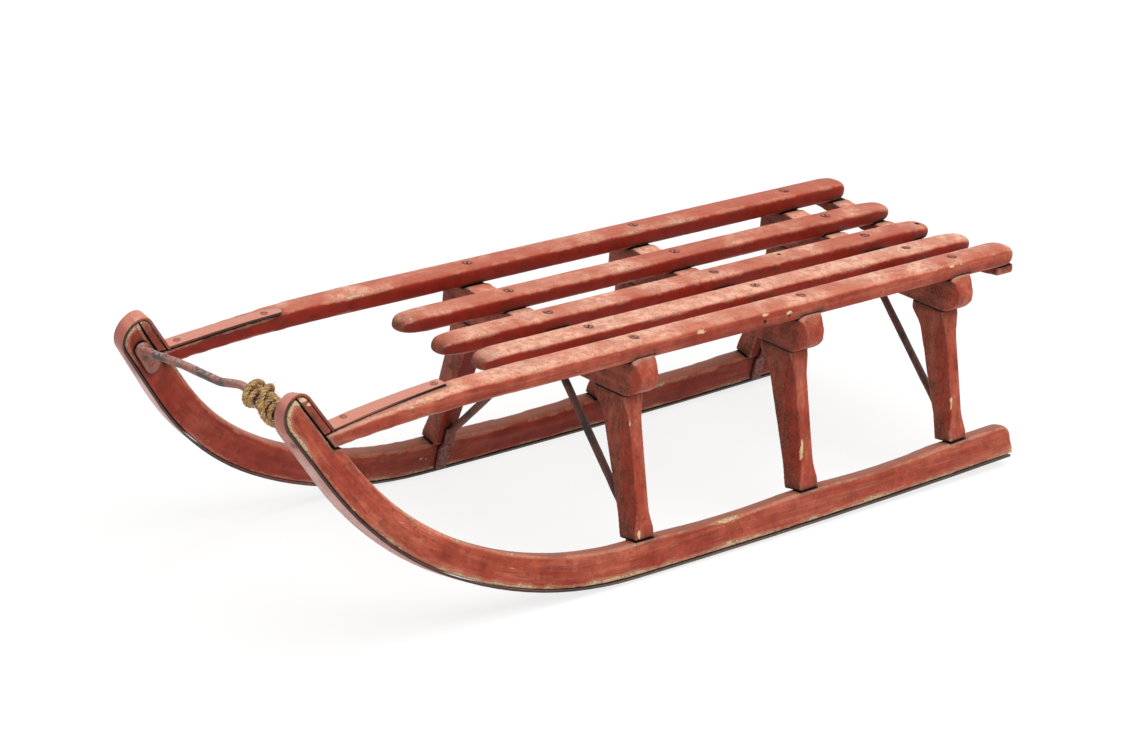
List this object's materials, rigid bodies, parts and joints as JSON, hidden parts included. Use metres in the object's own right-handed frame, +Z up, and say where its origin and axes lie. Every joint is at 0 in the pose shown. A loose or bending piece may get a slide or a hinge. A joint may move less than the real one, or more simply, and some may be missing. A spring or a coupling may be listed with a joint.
{
  "type": "wooden child's sled",
  "caption": "Red-painted wooden child's sled with bent steel-shod runners, splayed trestles, a dished slatted seat, iron braces and a pull bar with old rope wound on it.",
  "frame": {"origin": "on the ground, midway between the rear and front ends and between the runners", "axes": "+X forward, +Y to the sled's left, +Z up"},
  "size_m": [1.0095, 0.3496, 0.2733],
  "materials": {
    "painted_wood": "old red paint, worn at the edges",
    "shoe_steel": "red paint over steel, bare and dark on the sole",
    "brace_iron": "thin red paint over rusted iron",
    "bar_iron": "worn paint over grey iron",
    "old_rope": "weathered twisted rope"
  },
  "bodies": {
    "root": {"batten_rear": "painted_wood", "bearer_front": "painted_wood", "bearer_middle": "painted_wood", "bearer_rear": "painted_wood", "brace_front": "brace_iron", "brace_rear": "brace_iron", "leg_front_left": "painted_wood", "leg_front_right": "painted_wood", "leg_middle_left": "painted_wood", "leg_middle_right": "painted_wood", "leg_rear_left": "painted_wood", "leg_rear_right": "painted_wood", "pull_bar": "bar_iron", "rail_left": "painted_wood", "rail_right": "painted_wood", "rope_lashing": "old_rope", "runner_left": "painted_wood", "runner_right": "painted_wood", "shoe_left": "shoe_steel", "shoe_right": "shoe_steel", "slat_left": "painted_wood", "slat_middle": "painted_wood", "slat_right": "painted_wood", "tip_block_left": "painted_wood", "tip_block_right": "painted_wood"}
  },
  "joints": []
}
